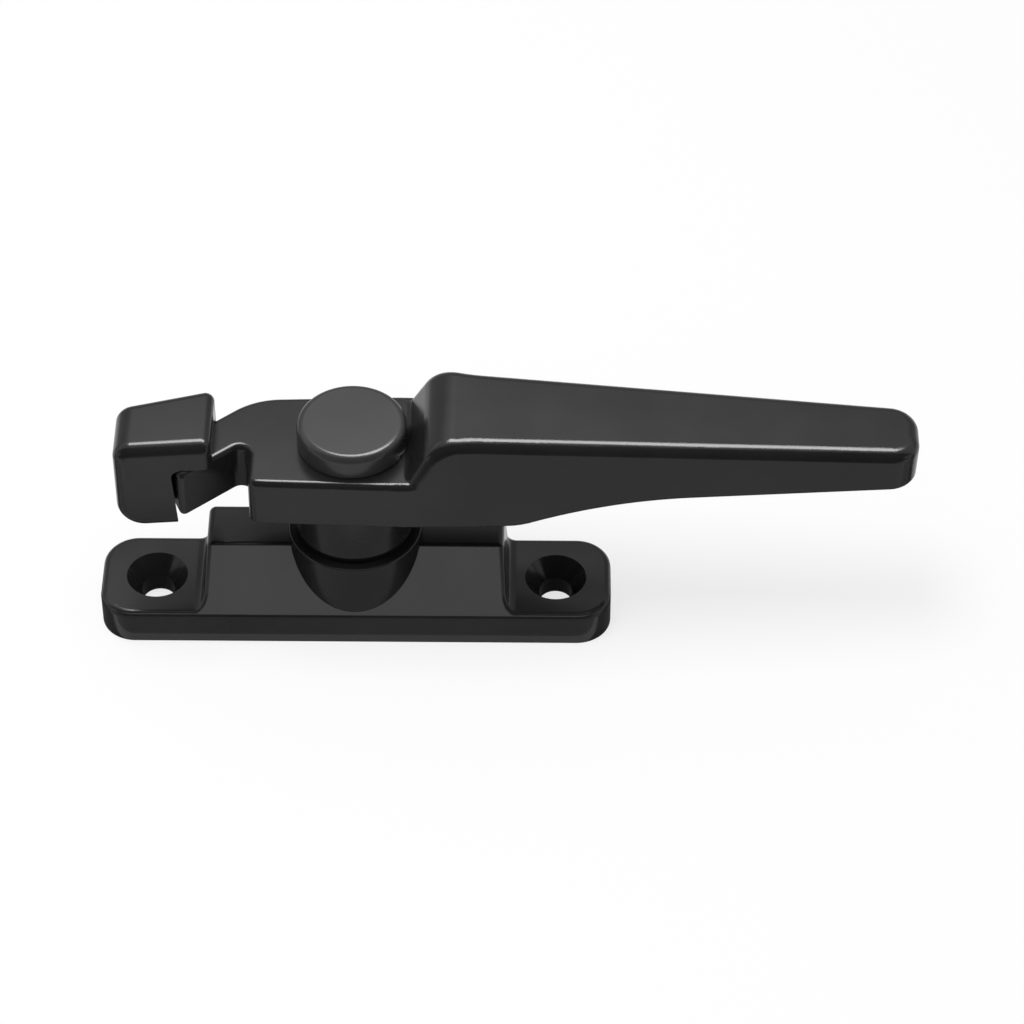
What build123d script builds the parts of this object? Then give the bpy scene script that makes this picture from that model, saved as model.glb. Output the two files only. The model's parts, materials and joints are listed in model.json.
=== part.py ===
from build123d import *
import os
from math import asin, atan2, cos, hypot, radians, sin, sqrt, tan

# Window handle lock: a cast lever turns on a cast base and swings a nose block over a keeper.
# Millimetres. The origin is midway between the two fixing holes, on the mounting face. +Z points away
# from the window, +X runs along the base towards the lever's tip, and the base's slope faces -Y.

# Base: plate with a countersunk fixing hole at each end
SCREW_SPACING = 60.0
SCREW_END_MARGIN = 8.3
SCREW_HOLE_D = 5.0
SCREW_SINK_D = 9.2
SCREW_SINK_ANGLE = 72.0
BASE_DEPTH = 16.5
BASE_CORNER_R = 5.2
PLATE_THICKNESS = 5.7
PLATE_EDGE_R = 1.0

# Base: raised block between the holes, flat at the back and sloped at the front
SCREW_BLOCK_MARGIN = 7.2
BLOCK_RISE = 6.9
BLOCK_FLAT_DEPTH = 8.25
BLOCK_END_DRAFT = 5.0
BLOCK_FOOT_R = 1.5
BLOCK_EDGE_R = 1.0

# Base: cored pockets in the underside, one each side of the boss
CORE_LENGTH = 7.0
CORE_DEPTH = 8.5
CORE_HEIGHT = 3.6
CORE_CORNER_R = 1.5
CORE_WALL = 2.6

# Base: drafted round boss on the pivot axis
BOSS_TOP_R = 10.0
BOSS_RISE = 1.8
BOSS_DRAFT = 2.2
BOSS_RIM_R = 0.35
BOSS_FRONT_MARGIN = 0.45

# Spindle and the flanged bush it turns in
SPINDLE_R = 4.0
RUNNING_CLEARANCE = 0.05
FIT_CLEARANCE = 0.02
FACE_CLEARANCE = 0.03
BUSH_WALL = 1.05
BUSH_FLANGE_R = 8.6
BUSH_FLANGE_T = 1.05
BUSH_END_GAP = 1.0

# Spindle head, let into the lever's pad and keyed there by a square
SQUARE_OVER_SHANK = 0.2
SQUARE_HEIGHT = 3.0
HEAD_LIP = 0.6
HEAD_T = 1.8
HEAD_POCKET_DEPTH = 3.0
HEAD_POCKET_CLEARANCE = 0.1

# Lower end of the spindle: spring washer, stop washer and retaining ring in the base's recess
SPRING_LEDGE = 1.8
SPRING_CLEARANCE = 0.4
SPRING_T = 0.6
SPRING_HEIGHT = 1.1
STOP_WASHER_T = 1.2
STOP_TAB_REACH = 2.0
STOP_TAB_WIDTH = 3.0
STOP_TAB_CLEARANCE = 0.12
STOP_POCKET_CLEARANCE = 0.3
STOP_START = -45.0
STOP_SWEEP = 90.0
FLAT_CUT = 0.7
GROOVE_CUT = 0.2
RING_WIDTH = 2.3
RING_T = 0.8
RING_GAP = 4.4
SPINDLE_TAIL = 1.0
SPINDLE_END_CLEARANCE = 0.85

# Lever: levels above the bush
HUB_R = 8.95
HUB_HEIGHT = 7.67
HUB_EDGE_R = 0.3
PAD_THICKNESS = 8.3

# Lever: side view of the step, the grip and its underside
STEP_CAP_GAP = 0.2
STEP_ANGLE = 62.0
STEP_FOOT_R = 1.0
STEP_CREST_R = 5.0
GRIP_RISE = 7.19
GRIP_FALL = 3.65
UNDERSIDE_START_X = 24.8
UNDERSIDE_BEND_R = 12.0
UNDERSIDE_RISE = 4.2
UNDERSIDE_START_ANGLE = 18.0
UNDERSIDE_END_ANGLE = 1.0

# Lever: plan from the pivot. Half depths are on the pad's underside, and the sides lean in from there.
PAD_LEFT_X = -15.0
PAD_RIGHT_X = 8.0
GRIP_START_X = 17.5
TIP_X = 82.4
PAD_HALF_LEFT = 9.17
PAD_HALF_RIGHT = 9.93
GRIP_HALF_START = 9.83
GRIP_HALF_TIP = 6.65
PAD_SIDE_LEAN = 1.2
GRIP_SIDE_LEAN = 7.6
TIP_LEAN = 3.4
SIDE_BEND_LOW_R = 100.0
SIDE_BEND_HIGH_R = 20.0
TIP_CORNER_R = 4.2
PAD_CORNER_R = 1.6
PAD_EDGE_R = 0.9
GRIP_EDGE_R = 1.8
LEVER_BOTTOM_R = 0.5

# Lever: the slanted neck that carries the nose block
NECK_ANGLE = 39.7
NECK_FRONT_X = -17.7
NECK_FRONT_Y = -1.95
NECK_WIDTH = 6.6
NECK_END_X = -24.9
NECK_END_SKEW = 24.0
NECK_NOTCH_R = 1.5
NECK_BACK_R = 11.0
NECK_END_R = 0.8

# Nose block, hooked over the neck's end
NOSE_REACH = 9.7
NOSE_LAP = 4.6
NOSE_FRONT_SET = 1.63
NOSE_FRONT_SKEW = 4.8
NOSE_BACK_WALL = 1.9
NOSE_BACK_SKEW = 15.7
NOSE_RISE = 4.75
NOSE_DROP = 3.1
NOSE_HEEL_R = 4.2
NOSE_SHOULDER_R = 2.6
NOSE_FRONT_R = 1.8
NOSE_BACK_R = 1.6
NOSE_RIGHT_R = 1.3
NOSE_NOTCH_GAP = 0.8
NOSE_NOTCH_R = 1.3
NOSE_SEAT_CLEARANCE = 0.05

# Pin that holds the nose block on the neck, driven from below
NOSE_PIN_R = 1.5
NOSE_PIN_EDGE = 2.6
NOSE_PIN_COVER = 1.8
NOSE_PIN_SET = 0.4

# Cover cap over the spindle head
CAP_R = 8.1
CAP_HEIGHT = 4.0
CAP_EDGE_R = 1.1
CAP_SHADOW_GAP = 0.2
CAP_WALL = 1.2

# Base values worked out from the sizes above
BASE_LENGTH = SCREW_SPACING + 2 * SCREW_END_MARGIN
BLOCK_HALF = SCREW_SPACING / 2 - SCREW_BLOCK_MARGIN
BLOCK_TOP_Z = PLATE_THICKNESS + BLOCK_RISE
HALF_DEPTH = BASE_DEPTH / 2
CREASE_Y = HALF_DEPTH - BLOCK_FLAT_DEPTH
PLATE_EDGE_Z = PLATE_THICKNESS - PLATE_EDGE_R
BOSS_TOP_Z = BLOCK_TOP_Z + BOSS_RISE
BOSS_FOOT_R = BOSS_TOP_R + BOSS_TOP_Z * tan(radians(BOSS_DRAFT))
PIVOT_Y = BOSS_FRONT_MARGIN + BOSS_FOOT_R - HALF_DEPTH
PIVOT = Pos(0, PIVOT_Y, 0)

# Pivot stack worked out from the sizes above
RECESS_DEPTH = SPRING_HEIGHT + STOP_WASHER_T + RING_T + SPINDLE_TAIL + SPINDLE_END_CLEARANCE
SPRING_LOW_Z = RECESS_DEPTH - SPRING_HEIGHT
WASHER_LOW_Z = SPRING_LOW_Z - FACE_CLEARANCE - STOP_WASHER_T
RING_LOW_Z = WASHER_LOW_Z - RING_T
SPINDLE_LOW_Z = RING_LOW_Z - SPINDLE_TAIL
SLEEVE_R = SPINDLE_R + RUNNING_CLEARANCE + BUSH_WALL
RECESS_R = SLEEVE_R + SPRING_LEDGE
WASHER_R = RECESS_R - SPRING_CLEARANCE
STOP_TAB_R = WASHER_R + STOP_TAB_REACH
STOP_POCKET_R = STOP_TAB_R + STOP_POCKET_CLEARANCE
FLAT_WIDTH = 2 * (SPINDLE_R - FLAT_CUT)
GROOVE_R = FLAT_WIDTH / 2 - GROOVE_CUT
BUSH_TOP_Z = BOSS_TOP_Z + BUSH_FLANGE_T
SQUARE_WIDTH = 2 * SPINDLE_R + SQUARE_OVER_SHANK
HEAD_R = SQUARE_WIDTH / sqrt(2) + HEAD_LIP
HEAD_POCKET_R = HEAD_R + HEAD_POCKET_CLEARANCE

# Lever values worked out from the sizes above
HUB_LOW_Z = BUSH_TOP_Z + FACE_CLEARANCE
PAD_LOW_Z = HUB_LOW_Z + HUB_HEIGHT
PAD_TOP_Z = PAD_LOW_Z + PAD_THICKNESS
HEAD_SEAT_Z = PAD_TOP_Z - HEAD_POCKET_DEPTH
STEP_FOOT_X = CAP_R + STEP_CAP_GAP
GRIP_CREST_Z = PAD_TOP_Z + GRIP_RISE
GRIP_CREST_X = STEP_FOOT_X + GRIP_RISE / tan(radians(STEP_ANGLE))
NOSE_LEFT_X = NECK_END_X - NOSE_REACH
NOSE_RIGHT_X = NECK_END_X + NOSE_LAP
NOSE_PIN_X = NOSE_RIGHT_X - NOSE_PIN_EDGE
MARGIN = 10.0


def disc(radius, low, high):
    """A round solid on the Z axis between two heights."""
    return Pos(0, 0, low) * Cylinder(radius, high - low, align=(Align.CENTER, Align.CENTER, Align.MIN))


def frustum(low_radius, high_radius, low, high):
    """A round tapered solid on the Z axis between two heights."""
    cone = Cone(low_radius, high_radius, high - low, align=(Align.CENTER, Align.CENTER, Align.MIN))
    return Pos(0, 0, low) * cone


def polygon(points):
    """A flat face with straight sides."""
    return make_face(Polyline(*points, close=True))


def round_corner(face, x, y, radius):
    """Rounds the corner of a flat face that lies at a point."""
    spot = Vector(x, y)
    corner = [v for v in face.vertices() if (v.center() - spot).length < 1e-4]
    return fillet(corner, radius)


def upright_edge(shape, x, y):
    """The upright edge of a solid nearest to a plan point."""
    tall = [e for e in shape.edges() if e.bounding_box().size.Z > shape.bounding_box().size.Z / 2]
    return min(tall, key=lambda e: (e.center().X - x) ** 2 + (e.center().Y - y) ** 2)


# Base


def on_slope_or_top(edge):
    """Whether an edge of the block is its crease or runs along an end of its slope or flat top."""
    middle = edge.center()
    size = edge.bounding_box().size
    crease = abs(middle.Y - CREASE_Y) < 1e-3 and abs(middle.Z - BLOCK_TOP_Z) < 1e-3
    top_end = abs(middle.Z - BLOCK_TOP_Z) < 1e-3 and size.X < 1e-3
    slope_end = size.Y > BLOCK_FOOT_R and size.Z > BLOCK_FOOT_R and middle.Y < CREASE_Y
    return crease or top_end or slope_end


def slope_foot_z():
    """Height at the front face of a slope that falls from the crease and touches the plate's rounded edge."""
    run = CREASE_Y + HALF_DEPTH - PLATE_EDGE_R
    rise = BLOCK_TOP_Z - PLATE_EDGE_Z
    angle = atan2(rise, run) - asin(PLATE_EDGE_R / hypot(run, rise))
    return BLOCK_TOP_Z - (CREASE_Y + HALF_DEPTH) * tan(angle)


def base_block():
    """The raised block: its end walls lean in and run out into the plate, and its front is sloped."""
    lean = BLOCK_RISE * tan(radians(BLOCK_END_DRAFT))
    skirt = BLOCK_HALF + BLOCK_FOOT_R
    front_view = polygon(
        [
            (-skirt, 0),
            (-skirt, PLATE_THICKNESS),
            (-BLOCK_HALF, PLATE_THICKNESS),
            (-BLOCK_HALF + lean, BLOCK_TOP_Z),
            (BLOCK_HALF - lean, BLOCK_TOP_Z),
            (BLOCK_HALF, PLATE_THICKNESS),
            (skirt, PLATE_THICKNESS),
            (skirt, 0),
        ]
    )
    for side in (-1, 1):
        front_view = round_corner(front_view, side * BLOCK_HALF, PLATE_THICKNESS, BLOCK_FOOT_R)
    side_view = polygon(
        [
            (-HALF_DEPTH, 0),
            (-HALF_DEPTH, slope_foot_z()),
            (CREASE_Y, BLOCK_TOP_Z),
            (HALF_DEPTH, BLOCK_TOP_Z),
            (HALF_DEPTH, 0),
        ]
    )
    block = extrude(Plane.XZ * front_view, HALF_DEPTH, both=True)
    block &= extrude(Plane.YZ * side_view, skirt, both=True)
    back = block.faces().filter_by(Plane.XZ).sort_by(Axis.Y)[-1]
    block = fillet([e for e in back.edges() if e.center().Z > PLATE_EDGE_Z], PLATE_EDGE_R)
    block = fillet([e for e in block.edges() if on_slope_or_top(e)], BLOCK_EDGE_R)
    side_view = round_corner(side_view, -HALF_DEPTH, slope_foot_z(), PLATE_EDGE_R)
    return block & extrude(Plane.YZ * side_view, skirt, both=True)


def boss():
    """The drafted seat under the lever, down to the mounting face."""
    seat = frustum(BOSS_FOOT_R, BOSS_TOP_R, 0, BOSS_TOP_Z)
    return fillet(seat.edges().sort_by(Axis.Z)[-1], BOSS_RIM_R)


def fixing_hole():
    """A through hole countersunk from above."""
    sink_depth = (SCREW_SINK_D - SCREW_HOLE_D) / 2 / tan(radians(SCREW_SINK_ANGLE / 2))
    bore = disc(SCREW_HOLE_D / 2, -1, PLATE_THICKNESS)
    sink = frustum(SCREW_HOLE_D / 2, SCREW_SINK_D / 2, PLATE_THICKNESS - sink_depth, PLATE_THICKNESS)
    return bore + sink


def stop_pocket():
    """The arc pocket beside the recess in which the stop washer's tab swings."""
    width = STOP_TAB_WIDTH + 2 * STOP_TAB_CLEARANCE
    finger = Pos(STOP_POCKET_R / 2, 0) * Rectangle(STOP_POCKET_R, width)
    first = Rot(0, 0, STOP_START)
    last = Rot(0, 0, STOP_START + STOP_SWEEP)
    start = Line((0, 0), (STOP_POCKET_R, 0))
    arc = CenterArc((0, 0), STOP_POCKET_R, 0, STOP_SWEEP)
    wedge = make_face([start, arc, Line(arc @ 1, (0, 0))])
    plan = first * wedge + first * finger + last * finger
    return extrude(plan & Circle(STOP_POCKET_R), RECESS_DEPTH)


def core_pocket():
    """A cored pocket in the underside."""
    return extrude(RectangleRounded(CORE_LENGTH, CORE_DEPTH, CORE_CORNER_R), CORE_HEIGHT)


def make_base():
    plate = extrude(RectangleRounded(BASE_LENGTH, BASE_DEPTH, BASE_CORNER_R), PLATE_THICKNESS)
    plate = fillet(plate.faces().sort_by(Axis.Z)[-1].edges(), PLATE_EDGE_R)
    body = plate + base_block() + PIVOT * boss()
    core_x = STOP_POCKET_R + CORE_WALL + CORE_LENGTH / 2
    for side in (-1, 1):
        body -= Pos(side * SCREW_SPACING / 2, 0, 0) * fixing_hole()
        body -= Pos(side * core_x, 0, 0) * core_pocket()
    body -= PIVOT * disc(RECESS_R, 0, RECESS_DEPTH)
    body -= PIVOT * stop_pocket()
    return body - PIVOT * disc(SLEEVE_R, 0, BOSS_TOP_Z)


# Pieces on the pivot


def make_bush():
    """A flanged bush. Its flange shows as the dark ring between boss and hub."""
    sleeve = disc(SLEEVE_R, RECESS_DEPTH + BUSH_END_GAP, BOSS_TOP_Z)
    flange = disc(BUSH_FLANGE_R, BOSS_TOP_Z, BUSH_TOP_Z)
    return PIVOT * (sleeve + flange - disc(SPINDLE_R + RUNNING_CLEARANCE, 0, BUSH_TOP_Z))


def make_spindle():
    """A headed pin: square under the head, with two flats and a ring groove at its lower end."""
    head = disc(HEAD_R, HEAD_SEAT_Z, HEAD_SEAT_Z + HEAD_T)
    head = chamfer(head.edges().sort_by(Axis.Z)[-1], HEAD_T / 4)
    square = Box(SQUARE_WIDTH, SQUARE_WIDTH, SQUARE_HEIGHT, align=(Align.CENTER, Align.CENTER, Align.MAX))
    shank = disc(SPINDLE_R, RECESS_DEPTH, HEAD_SEAT_Z)
    flats = extrude(Circle(SPINDLE_R) & Rectangle(MARGIN, FLAT_WIDTH), RECESS_DEPTH - SPINDLE_LOW_Z)
    pin = head + Pos(0, 0, HEAD_SEAT_Z) * square + shank + Pos(0, 0, SPINDLE_LOW_Z) * flats
    groove = disc(MARGIN, RING_LOW_Z - FIT_CLEARANCE, WASHER_LOW_Z)
    return PIVOT * (pin - (groove - disc(GROOVE_R, 0, RECESS_DEPTH)))


def make_disc_spring():
    """A coned spring washer, so that the lever stays where it is left."""
    inner = SPINDLE_R + 2 * RUNNING_CLEARANCE
    top = RECESS_DEPTH - FACE_CLEARANCE
    section = polygon(
        [
            (inner, SPRING_LOW_Z),
            (inner, SPRING_LOW_Z + SPRING_T),
            (WASHER_R, top),
            (WASHER_R, top - SPRING_T),
        ]
    )
    return PIVOT * revolve(Plane.XZ * section, Axis.Z)


def make_stop_washer():
    """A washer keyed to the spindle's flats, whose tab meets the two ends of the arc pocket."""
    plan = Circle(WASHER_R) + Pos(STOP_TAB_R / 2, 0) * Rectangle(STOP_TAB_R, STOP_TAB_WIDTH)
    plan &= Circle(STOP_TAB_R)
    key = Circle(SPINDLE_R + FIT_CLEARANCE) & Rectangle(MARGIN, FLAT_WIDTH + 2 * FIT_CLEARANCE)
    washer = extrude(Rot(0, 0, STOP_START) * plan - key, STOP_WASHER_T)
    return PIVOT * Pos(0, 0, WASHER_LOW_Z) * washer


def make_retaining_ring():
    """A spring clip in the spindle's groove, open at one side."""
    ring_r = GROOVE_R + RING_WIDTH
    plan = Circle(ring_r) - Circle(GROOVE_R + FIT_CLEARANCE)
    plan -= Pos(-ring_r, 0) * Rectangle(2 * ring_r, RING_GAP)
    return PIVOT * Pos(0, 0, RING_LOW_Z) * extrude(plan, RING_T - FIT_CLEARANCE)


def make_cap():
    """A cover cap that clips into the pocket above the spindle head."""
    rim_z = PAD_TOP_Z + CAP_SHADOW_GAP
    crown = disc(CAP_R, rim_z, PAD_TOP_Z + CAP_HEIGHT)
    crown = fillet(crown.edges().sort_by(Axis.Z)[-1], CAP_EDGE_R)
    plug_r = HEAD_POCKET_R - FIT_CLEARANCE
    plug_z = HEAD_SEAT_Z + HEAD_T + FIT_CLEARANCE
    return PIVOT * (crown + disc(plug_r, plug_z, rim_z) - disc(plug_r - CAP_WALL, plug_z, rim_z))


# Lever


def lever_outline(lift):
    """The lever's plan at a height above the pad's underside: straight sides with two gentle bends."""
    pad_slope = (PAD_HALF_RIGHT - PAD_HALF_LEFT) / (PAD_RIGHT_X - PAD_LEFT_X)
    pad_lean = lift * tan(radians(PAD_SIDE_LEAN))
    grip_lean = lift * tan(radians(GRIP_SIDE_LEAN))
    end_x = NECK_END_X - MARGIN
    halves = [
        (end_x, PAD_HALF_LEFT + pad_slope * (end_x - PAD_LEFT_X) - pad_lean),
        (PAD_RIGHT_X, PAD_HALF_RIGHT - pad_lean),
        (GRIP_START_X, GRIP_HALF_START - grip_lean),
        (TIP_X + lift * tan(radians(TIP_LEAN)), GRIP_HALF_TIP - grip_lean),
    ]
    bend_r = SIDE_BEND_HIGH_R if lift else SIDE_BEND_LOW_R
    z = PAD_LOW_Z + lift
    front = FilletPolyline(*[(x, -half, z) for x, half in halves], radius=bend_r)
    back = FilletPolyline(*[(x, half, z) for x, half in halves], radius=bend_r)
    return make_face([front, Line(front @ 1, back @ 1), back, Line(back @ 0, front @ 0)])


def lever_sides():
    """The lever's leaning sides and rounded tip, from the pad's underside to above the grip."""
    height = GRIP_CREST_Z + 1 - PAD_LOW_Z
    sides = loft([lever_outline(0), lever_outline(height)], ruled=True)
    corners = [upright_edge(sides, TIP_X, side * GRIP_HALF_TIP) for side in (-1, 1)]
    return fillet(corners, TIP_CORNER_R)


def neck_y(behind, x):
    """Y of a line along the neck, a distance behind its front face."""
    slant = radians(NECK_ANGLE)
    return NECK_FRONT_Y + behind / cos(slant) + (x - NECK_FRONT_X) * tan(slant)


def neck_back_corner(beyond, behind):
    """Plan corner of the neck's skewed end and its back, each moved out by a distance."""
    slant = tan(radians(NECK_ANGLE))
    skew = radians(NECK_END_SKEW)
    end_x = NECK_END_X + neck_y(0, NECK_END_X) * tan(skew) - beyond / cos(skew)
    y = (neck_y(NECK_WIDTH + behind, 0) + end_x * slant) / (1 + slant * tan(skew))
    return end_x - y * tan(skew), y


def lever_end():
    """Plan of the lever's left end: pad end, notch and slanted neck. It is wide open to the right."""
    far = TIP_X + MARGIN
    wide = 3 * MARGIN
    back_x = NECK_FRONT_X + MARGIN
    points = [
        (far, -wide),
        (PAD_LEFT_X, -wide),
        (PAD_LEFT_X, neck_y(0, PAD_LEFT_X)),
        (NECK_END_X, neck_y(0, NECK_END_X)),
        neck_back_corner(0, 0),
        (back_x, neck_y(NECK_WIDTH, back_x)),
        (back_x, wide),
        (far, wide),
    ]
    return Pos(0, 0, PAD_LOW_Z) * extrude(polygon(points), 2 * MARGIN)


def lever_side_view():
    """The lever's side view: pad, step, falling grip, and an underside that sweeps up from the pad."""
    far = TIP_X + MARGIN
    left = NECK_END_X - MARGIN
    far_top = GRIP_CREST_Z - (far - GRIP_CREST_X) * tan(radians(GRIP_FALL))
    first = radians(UNDERSIDE_START_ANGLE)
    last = radians(UNDERSIDE_END_ANGLE)
    sweep_r = UNDERSIDE_RISE / (cos(last) - cos(first))
    sweep_x = UNDERSIDE_START_X + sweep_r * (sin(first) - sin(last))
    sweep_z = PAD_LOW_Z + UNDERSIDE_RISE
    start = (UNDERSIDE_START_X, PAD_LOW_Z)
    sweep = TangentArc([start, (sweep_x, sweep_z)], tangent=(cos(first), sin(first)))
    rest = Polyline(
        (sweep_x, sweep_z),
        (far, sweep_z + (far - sweep_x) * tan(last)),
        (far, far_top),
        (GRIP_CREST_X, GRIP_CREST_Z),
        (STEP_FOOT_X, PAD_TOP_Z),
        (left, PAD_TOP_Z),
        (left, PAD_LOW_Z),
        start,
    )
    view = make_face([sweep, rest])
    view = round_corner(view, GRIP_CREST_X, GRIP_CREST_Z, STEP_CREST_R)
    view = round_corner(view, STEP_FOOT_X, PAD_TOP_Z, STEP_FOOT_R)
    view = round_corner(view, UNDERSIDE_START_X, PAD_LOW_Z, UNDERSIDE_BEND_R)
    return extrude(Plane.XZ * view, 3 * MARGIN, both=True)


def rim_edges(shape, low, high):
    """The edges round a lever shape between two heights, without upright seams and seams across it."""
    rim = []
    for edge in shape.edges():
        middle = edge.center()
        size = edge.bounding_box().size
        across = abs(middle.Y) < 1e-3 and size.X < 1e-3 and middle.X < TIP_X - TIP_CORNER_R
        upright = size.Z > 4 * max(size.X, size.Y)
        if low < middle.Z < high and not across and not upright:
            rim.append(edge)
    return rim


def lever_form():
    """The lever's outer form with its lower edges rounded and its upper edges still sharp."""
    form = lever_sides() & lever_end()
    back_x = PAD_LEFT_X + 1
    form = fillet(upright_edge(form, back_x, PAD_HALF_LEFT), NECK_BACK_R)
    form = fillet(upright_edge(form, PAD_LEFT_X, neck_y(0, PAD_LEFT_X)), NECK_NOTCH_R)
    form = fillet(upright_edge(form, PAD_LEFT_X, -PAD_HALF_LEFT), PAD_CORNER_R)
    form = fillet(upright_edge(form, NECK_END_X, neck_y(0, NECK_END_X)), NECK_END_R)
    form = fillet(upright_edge(form, *neck_back_corner(0, 0)), NECK_END_R)
    form &= lever_side_view()
    return fillet(rim_edges(form, 0, PAD_LOW_Z + UNDERSIDE_RISE + LEVER_BOTTOM_R), LEVER_BOTTOM_R)


def lever_pad(form):
    """The pad and neck up to the pad's top, with a tight upper edge. It runs on under the grip."""
    width = GRIP_START_X + LEVER_BOTTOM_R + 4 * MARGIN
    slab = Box(width, 6 * MARGIN, PAD_TOP_Z, align=(Align.MAX, Align.CENTER, Align.MIN))
    pad = form & Pos(GRIP_START_X + LEVER_BOTTOM_R, 0, 0) * slab
    top = pad.faces().filter_by(Plane.XY).sort_by(Axis.Z)[-1]
    end_x = pad.bounding_box().max.X
    return fillet([e for e in top.edges() if e.center().X < end_x - 1e-3], PAD_EDGE_R)


def lever_grip(form):
    """The step and grip with a full upper edge. It starts inside the pad, a little before the step."""
    room = Box(2 * TIP_X, 6 * MARGIN, 6 * MARGIN, align=(Align.MIN, Align.CENTER, Align.MIN))
    grip = form & Pos(STEP_FOOT_X - 3 * STEP_FOOT_R, 0, 0) * room
    return fillet(rim_edges(grip, PAD_TOP_Z - 1e-3, GRIP_CREST_Z), GRIP_EDGE_R)


def hub():
    """The round hub between the bush and the pad."""
    post = disc(HUB_R, HUB_LOW_Z, PAD_LOW_Z + LEVER_BOTTOM_R)
    return fillet(post.edges().sort_by(Axis.Z)[0], HUB_EDGE_R)


def nose_pin_hole():
    """The pin's hole through the neck and into the nose block."""
    hole = disc(NOSE_PIN_R + FIT_CLEARANCE, 0, PAD_TOP_Z + NOSE_RISE - NOSE_PIN_COVER)
    return Pos(NOSE_PIN_X, neck_y(NECK_WIDTH / 2, NOSE_PIN_X), 0) * hole


def make_lever():
    form = lever_form()
    lever = lever_pad(form) + lever_grip(form) + hub()
    key = SQUARE_WIDTH + 2 * FIT_CLEARANCE
    square = Box(key, key, SQUARE_HEIGHT + FIT_CLEARANCE, align=(Align.CENTER, Align.CENTER, Align.MAX))
    lever -= disc(HEAD_POCKET_R, HEAD_SEAT_Z, PAD_TOP_Z)
    lever -= Pos(0, 0, HEAD_SEAT_Z) * square
    lever -= disc(SPINDLE_R + FIT_CLEARANCE, 0, HEAD_SEAT_Z)
    return PIVOT * (lever - nose_pin_hole())


# Nose block and its pin


def nose_corners():
    """The nose block's skewed plan: right front, left front, left back and right back corner."""
    length = NOSE_RIGHT_X - NOSE_LEFT_X
    front_y = neck_y(0, NECK_END_X) + NOSE_FRONT_SET
    back_y = neck_y(NECK_WIDTH, NOSE_RIGHT_X) + NOSE_BACK_WALL
    return [
        (NOSE_RIGHT_X, front_y),
        (NOSE_LEFT_X, front_y - length * tan(radians(NOSE_FRONT_SKEW))),
        (NOSE_LEFT_X, back_y - length * tan(radians(NOSE_BACK_SKEW))),
        (NOSE_RIGHT_X, back_y),
    ]


def left_rim(face):
    """The edges of a front or back face, all but the one on the right."""
    return [e for e in face.edges() if e.center().X < NOSE_RIGHT_X - 1e-3]


def neck_plan(beyond, z):
    """The neck's plan at a height, with a gap beyond its end. It is open to the front and right."""
    corner_x, corner_y = neck_back_corner(beyond, NOSE_SEAT_CLEARANCE)
    front_x = corner_x + (corner_y + MARGIN) * tan(radians(NECK_END_SKEW))
    right = NOSE_RIGHT_X + 1
    back_y = neck_y(NECK_WIDTH + NOSE_SEAT_CLEARANCE, right)
    plan = polygon([(front_x, -MARGIN), (right, -MARGIN), (right, back_y), (corner_x, corner_y)])
    return Pos(0, 0, z) * plan


def neck_room():
    """The room that the neck's end takes out of the nose block. Its end leans, so the gap closes below."""
    low = neck_plan(NOSE_SEAT_CLEARANCE, PAD_LOW_Z - NOSE_DROP - 1)
    high = neck_plan(NOSE_NOTCH_GAP, PAD_TOP_Z + NOSE_SEAT_CLEARANCE)
    room = loft([low, high], ruled=True)
    top = room.faces().sort_by(Axis.Z)[-1]
    return fillet(top.edges().sort_by(Axis.X)[0], NOSE_NOTCH_R)


def make_nose_block():
    low = PAD_LOW_Z - NOSE_DROP
    high = PAD_TOP_Z + NOSE_RISE
    front_view = polygon(
        [
            (NOSE_LEFT_X, low),
            (NOSE_LEFT_X, high),
            (NOSE_RIGHT_X, high),
            (NOSE_RIGHT_X, low),
        ]
    )
    front_view = round_corner(front_view, NOSE_LEFT_X, low, NOSE_HEEL_R)
    front_view = round_corner(front_view, NOSE_LEFT_X, high, NOSE_SHOULDER_R)
    block = extrude(polygon(nose_corners()), high) & extrude(Plane.XZ * front_view, 3 * MARGIN, both=True)
    block = fillet(left_rim(block.faces().sort_by(Axis.Y)[0]), NOSE_FRONT_R)
    block = fillet(left_rim(block.faces().sort_by(Axis.Y)[-1]), NOSE_BACK_R)
    right = block.faces().sort_by(Axis.X)[-1]
    block = fillet([e for e in right.edges() if e.center().Z > low + NOSE_FRONT_R], NOSE_RIGHT_R)
    return PIVOT * (block - neck_room() - nose_pin_hole())


def make_nose_pin():
    """A plain driven pin, set a little into the neck's underside."""
    high = PAD_TOP_Z + NOSE_RISE - NOSE_PIN_COVER - FIT_CLEARANCE
    pin = disc(NOSE_PIN_R, PAD_LOW_Z + NOSE_PIN_SET, high)
    pin = chamfer(pin.edges().filter_by(GeomType.CIRCLE), NOSE_PIN_R / 5)
    return PIVOT * Pos(NOSE_PIN_X, neck_y(NECK_WIDTH / 2, NOSE_PIN_X), 0) * pin


os.makedirs("parts", exist_ok=True)
export_step(make_base(), "parts/base.step")
export_step(make_bush(), "parts/pivot_bush.step")
export_step(make_spindle(), "parts/spindle.step")
export_step(make_disc_spring(), "parts/disc_spring.step")
export_step(make_stop_washer(), "parts/stop_washer.step")
export_step(make_retaining_ring(), "parts/retaining_ring.step")
export_step(make_lever(), "parts/handle_lever.step")
export_step(make_nose_block(), "parts/nose_block.step")
export_step(make_nose_pin(), "parts/nose_pin.step")
export_step(make_cap(), "parts/pivot_cap.step")
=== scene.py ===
import json
from math import cos, pi, radians, sin

import bpy
from mathutils import Matrix, Vector


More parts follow.
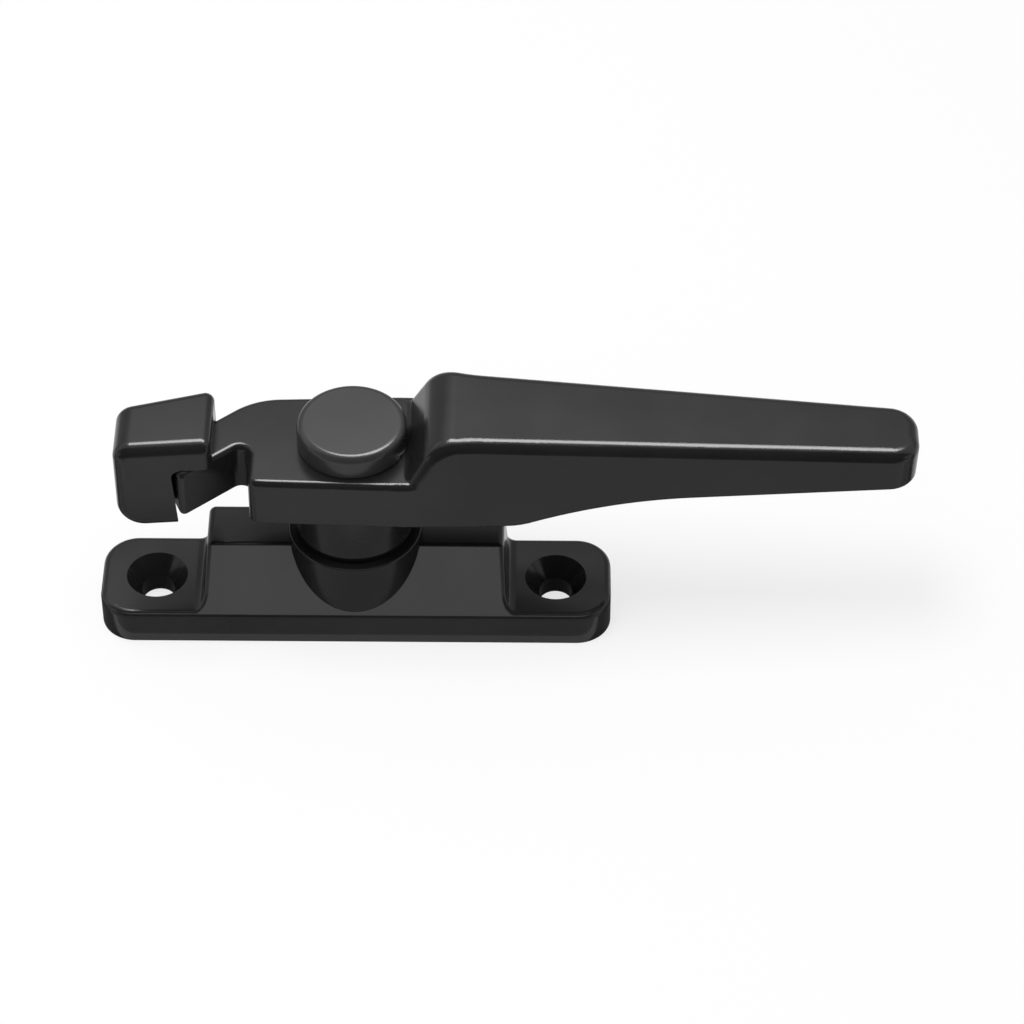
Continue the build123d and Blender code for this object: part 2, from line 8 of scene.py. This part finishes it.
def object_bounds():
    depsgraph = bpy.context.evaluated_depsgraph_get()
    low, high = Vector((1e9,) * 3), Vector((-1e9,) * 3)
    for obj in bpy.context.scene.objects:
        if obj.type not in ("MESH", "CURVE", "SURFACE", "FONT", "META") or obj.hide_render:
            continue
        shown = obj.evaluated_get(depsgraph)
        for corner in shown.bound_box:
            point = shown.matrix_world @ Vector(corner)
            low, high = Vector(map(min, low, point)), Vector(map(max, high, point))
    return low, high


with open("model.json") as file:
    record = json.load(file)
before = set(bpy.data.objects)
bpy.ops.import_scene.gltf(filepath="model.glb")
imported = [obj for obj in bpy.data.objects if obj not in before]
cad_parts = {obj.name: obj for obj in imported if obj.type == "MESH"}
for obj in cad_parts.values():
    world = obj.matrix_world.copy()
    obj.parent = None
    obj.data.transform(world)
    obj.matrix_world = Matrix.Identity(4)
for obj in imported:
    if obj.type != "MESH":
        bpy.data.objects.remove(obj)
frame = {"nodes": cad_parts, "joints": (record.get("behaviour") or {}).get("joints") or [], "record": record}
cad_low, cad_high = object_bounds()

# Finishes: a satin black coat on the castings and a slightly lighter one on the cap, nylon and bright steel
FINISHES = {
    # slot: colour, its spread, roughness, its spread, metallic, specular
    "coated_casting": (0.013, 0.002, 0.2, 0.02, 0.0, 0.3),
    "coated_cap": (0.032, 0.002, 0.24, 0.02, 0.0, 0.3),
    "nylon": (0.004, 0.001, 0.6, 0.05, 0.0, 0.1),
    "steel": (0.55, 0.04, 0.32, 0.06, 1.0, 0.5),
}

# Grain of all finishes. The clouds in which colour and roughness vary are larger than the grain.
GRAIN_SCALE = 900.0
GRAIN_DETAIL = 2.0
GRAIN_DEPTH = 0.000004
GRAIN_STRENGTH = 0.5
CLOUD_SCALE = 75.0
CLOUD_DETAIL = 3.0
CLOUD_LOW = 0.3
CLOUD_HIGH = 0.7

# Camera, fitted to the photo: angles in degrees, lengths in metres from the pivot
CAMERA_ELEVATION = 45.32
CAMERA_AZIMUTH = 0.65
CAMERA_ROLL = -0.10
CAMERA_DISTANCE = 0.625
CAMERA_RIGHT = 0.02339
CAMERA_UP = 0.01164
CAMERA_LENS_MM = 144.5
CAMERA_SENSOR_MM = 36.0
CAMERA_CLIP = (0.01, 20.0)

# Studio: a white tent with panel lights and dark cards. Angles are in degrees from straight up towards
# the front, as seen from the pivot, and lengths are in metres.
FLOOR_SIZE = 6.0
FLOOR_COLOUR = 0.92
FLOOR_GLOW = 0.74
TENT_LIGHT = 0.5
CARD_HALF = 0.6
CARDS = [
    # name, angle and distance of one edge, angle and distance of the other edge, brightness
    ("under_card", 198.9, 0.0162, 144.9, 0.0187, 0.1),
    ("near_card", 141.5, 0.0185, 115.9, 0.033, 0.4),
    ("mid_card", 115.9, 0.033, 99.0, 0.09, 0.8),
    ("foot_card", 99.0, 0.09, 89.0, 0.45, 0.0),
    ("low_card", 89.0, 0.45, 46.0, 0.45, 0.0),
    ("high_card", 33.0, 0.45, 16.0, 0.45, 0.0),
    ("edge_card", 39.0, 0.0393, 19.4, 0.0324, 0.0),
    ("back_card", -89.0, 0.153, -42.8, 0.153, 0.5),
]
PANELS = [
    # name, angle, distance, x, width, height, radiance, whether it lights surfaces or is seen in the gloss
    ("key", 0.0, 0.7, -0.12, 0.4, 0.3, 9.2, True),
    ("overhead", -19.0, 0.7, 0.085, 0.47, 0.28, 20.0, False),
    ("front", 39.0, 0.9, 0.0, 0.9, 0.16, 1.75, False),
    ("back", -36.5, 0.15, -0.04, 0.32, 0.033, 0.45, False),
]


def grey(value):
    """A neutral colour."""
    return (value, value, value, 1.0)


def new_material(name):
    """A node material that holds only its output."""
    material = bpy.data.materials.new(name)
    material.use_nodes = True
    tree = material.node_tree
    tree.nodes.clear()
    output = tree.nodes.new("ShaderNodeOutputMaterial")
    return material, tree, output


def spread(tree, noise, middle, reach):
    """Maps a noise texture to values within reach of a middle value."""
    node = tree.nodes.new("ShaderNodeMapRange")
    node.inputs["From Min"].default_value = CLOUD_LOW
    node.inputs["From Max"].default_value = CLOUD_HIGH
    node.inputs["To Min"].default_value = middle - reach
    node.inputs["To Max"].default_value = middle + reach
    tree.links.new(noise.outputs["Fac"], node.inputs["Value"])
    return node.outputs["Result"]


def noise_texture(tree, scale, detail):
    """A noise texture fixed to the object's own coordinates."""
    place = tree.nodes.new("ShaderNodeTexCoord")
    noise = tree.nodes.new("ShaderNodeTexNoise")
    noise.inputs["Scale"].default_value = scale
    noise.inputs["Detail"].default_value = detail
    tree.links.new(place.outputs["Object"], noise.inputs["Vector"])
    return noise


def grained_material(name, colour, colour_spread, roughness, roughness_spread, metallic, specular):
    """A surface whose colour and roughness vary a little, with a shallow grain."""
    material, tree, output = new_material(name)
    shader = tree.nodes.new("ShaderNodeBsdfPrincipled")
    shader.inputs["Metallic"].default_value = metallic
    shader.inputs["Specular IOR Level"].default_value = specular
    clouds = noise_texture(tree, CLOUD_SCALE, CLOUD_DETAIL)
    fine = noise_texture(tree, GRAIN_SCALE, GRAIN_DETAIL)
    tint = tree.nodes.new("ShaderNodeCombineColor")
    shade = spread(tree, clouds, colour, colour_spread)
    for channel in ("Red", "Green", "Blue"):
        tree.links.new(shade, tint.inputs[channel])
    tree.links.new(tint.outputs["Color"], shader.inputs["Base Color"])
    gloss = spread(tree, clouds, roughness, roughness_spread)
    tree.links.new(gloss, shader.inputs["Roughness"])
    bump = tree.nodes.new("ShaderNodeBump")
    bump.inputs["Strength"].default_value = GRAIN_STRENGTH
    bump.inputs["Distance"].default_value = GRAIN_DEPTH
    tree.links.new(fine.outputs["Fac"], bump.inputs["Height"])
    tree.links.new(bump.outputs["Normal"], shader.inputs["Normal"])
    tree.links.new(shader.outputs["BSDF"], output.inputs["Surface"])
    return material


def dress_nodes():
    """Gives each CAD node the material of its slot."""
    materials = {slot: grained_material(slot, *finish) for slot, finish in FINISHES.items()}
    for part in frame["record"]["subparts"]:
        node = frame["nodes"][part["node"]]
        for material_slot in node.material_slots:
            material_slot.material = materials[part["material_slot"]]


def seen_directly(tree):
    """1 for camera, glossy and transmission rays, else 0."""
    path = tree.nodes.new("ShaderNodeLightPath")
    first = tree.nodes.new("ShaderNodeMath")
    first.operation = "MAXIMUM"
    tree.links.new(path.outputs["Is Camera Ray"], first.inputs[0])
    tree.links.new(path.outputs["Is Glossy Ray"], first.inputs[1])
    second = tree.nodes.new("ShaderNodeMath")
    second.operation = "MAXIMUM"
    tree.links.new(first.outputs["Value"], second.inputs[0])
    tree.links.new(path.outputs["Is Transmission Ray"], second.inputs[1])
    return second.outputs["Value"]


def make_world():
    """White where it is seen, and a plain soft fill where it lights."""
    world = bpy.data.worlds.new("tent")
    world.use_nodes = True
    tree = world.node_tree
    tree.nodes.clear()
    output = tree.nodes.new("ShaderNodeOutputWorld")
    fill = tree.nodes.new("ShaderNodeBackground")
    fill.inputs["Color"].default_value = grey(1.0)
    fill.inputs["Strength"].default_value = TENT_LIGHT
    white = tree.nodes.new("ShaderNodeBackground")
    white.inputs["Color"].default_value = grey(1.0)
    white.inputs["Strength"].default_value = 1.0
    mix = tree.nodes.new("ShaderNodeMixShader")
    tree.links.new(seen_directly(tree), mix.inputs["Fac"])
    tree.links.new(fill.outputs["Background"], mix.inputs[1])
    tree.links.new(white.outputs["Background"], mix.inputs[2])
    tree.links.new(mix.outputs["Shader"], output.inputs["Surface"])
    bpy.context.scene.world = world


def glow_node(tree, strength):
    """A white emission."""
    glow = tree.nodes.new("ShaderNodeEmission")
    glow.inputs["Color"].default_value = grey(1.0)
    glow.inputs["Strength"].default_value = strength
    return glow


def floor_material():
    """A pale floor that is near white where it is seen and still takes the object's shadow."""
    material, tree, output = new_material("floor")
    matt = tree.nodes.new("ShaderNodeBsdfDiffuse")
    matt.inputs["Color"].default_value = grey(FLOOR_COLOUR)
    glow = glow_node(tree, 1.0)
    share = tree.nodes.new("ShaderNodeMath")
    share.operation = "MULTIPLY"
    share.inputs[1].default_value = FLOOR_GLOW
    tree.links.new(seen_directly(tree), share.inputs[0])
    mix = tree.nodes.new("ShaderNodeMixShader")
    tree.links.new(share.outputs["Value"], mix.inputs["Fac"])
    tree.links.new(matt.outputs["BSDF"], mix.inputs[1])
    tree.links.new(glow.outputs["Emission"], mix.inputs[2])
    tree.links.new(mix.outputs["Shader"], output.inputs["Surface"])
    return material


def card_material(name, brightness):
    """A plain studio card of an even brightness."""
    material, tree, output = new_material(name)
    glow = glow_node(tree, brightness)
    tree.links.new(glow.outputs["Emission"], output.inputs["Surface"])
    return material


def flat_mesh(name, corners, material):
    """A four-cornered flat object of the studio."""
    mesh = bpy.data.meshes.new(name)
    mesh.from_pydata(corners, [], [(0, 1, 2, 3)])
    mesh.materials.append(material)
    card = bpy.data.objects.new(name, mesh)
    bpy.context.scene.collection.objects.link(card)
    return card


def make_floor():
    """The floor, on the level of the mounting face."""
    half = FLOOR_SIZE / 2
    z = cad_low.z
    corners = [(-half, -half, z), (half, -half, z), (half, half, z), (-half, half, z)]
    flat_mesh("floor", corners, floor_material())


def around_pivot(angle, distance, x=0.0):
    """A point seen from the pivot at an angle from straight up towards the front, in degrees."""
    tilt = radians(angle)
    pivot = Vector(frame["joints"][0]["pos_m"])
    return pivot + Vector((x, -sin(tilt) * distance, cos(tilt) * distance))


def make_cards():
    """Dark cards that only reflections see. They give the edges their dark band."""
    for name, first, first_distance, last, last_distance, brightness in CARDS:
        corners = [
            around_pivot(first, first_distance, -CARD_HALF),
            around_pivot(first, first_distance, CARD_HALF),
            around_pivot(last, last_distance, CARD_HALF),
            around_pivot(last, last_distance, -CARD_HALF),
        ]
        card = flat_mesh(name, corners, card_material(name, brightness))
        card.visible_camera = False
        card.visible_diffuse = False
        card.visible_shadow = False


def make_lights():
    """Panel lights, all turned to the pivot. One lights the surfaces and the others are seen in the gloss."""
    pivot = around_pivot(0.0, 0.0)
    for name, angle, distance, x, width, height, radiance, lights_surfaces in PANELS:
        lamp = bpy.data.lights.new(name, "AREA")
        lamp.shape = "RECTANGLE"
        lamp.size = width
        lamp.size_y = height
        lamp.energy = radiance * pi * width * height
        panel = bpy.data.objects.new(name, lamp)
        bpy.context.scene.collection.objects.link(panel)
        panel.location = around_pivot(angle, distance, x)
        panel.rotation_euler = (pivot - panel.location).to_track_quat("-Z", "Y").to_euler()
        panel.visible_camera = False
        panel.visible_diffuse = lights_surfaces
        panel.visible_glossy = not lights_surfaces


def make_camera():
    """The camera at the photo's place, aimed from the pivot's foot."""
    azimuth, elevation, roll = (radians(a) for a in (CAMERA_AZIMUTH, CAMERA_ELEVATION, CAMERA_ROLL))
    right = Vector((cos(azimuth), sin(azimuth), 0.0))
    ahead = Vector((-sin(azimuth), cos(azimuth), 0.0))
    forward = ahead * cos(elevation) - Vector((0.0, 0.0, sin(elevation)))
    up = ahead * sin(elevation) + Vector((0.0, 0.0, cos(elevation)))
    side = right * cos(roll) + up * sin(roll)
    top = up * cos(roll) - right * sin(roll)
    foot = around_pivot(0.0, 0.0)
    foot.z = 0.0
    data = bpy.data.cameras.new("camera")
    data.sensor_width = CAMERA_SENSOR_MM
    data.lens = CAMERA_LENS_MM
    data.clip_start, data.clip_end = CAMERA_CLIP
    camera = bpy.data.objects.new("camera", data)
    bpy.context.scene.collection.objects.link(camera)
    place = foot + side * CAMERA_RIGHT + top * CAMERA_UP - forward * CAMERA_DISTANCE
    turn = Matrix((side, top, -forward)).transposed().to_4x4()
    camera.matrix_world = Matrix.Translation(place) @ turn
    bpy.context.scene.camera = camera


dress_nodes()
make_world()
make_floor()
make_cards()
make_lights()
make_camera()
bpy.context.scene.view_settings.view_transform = "Standard"
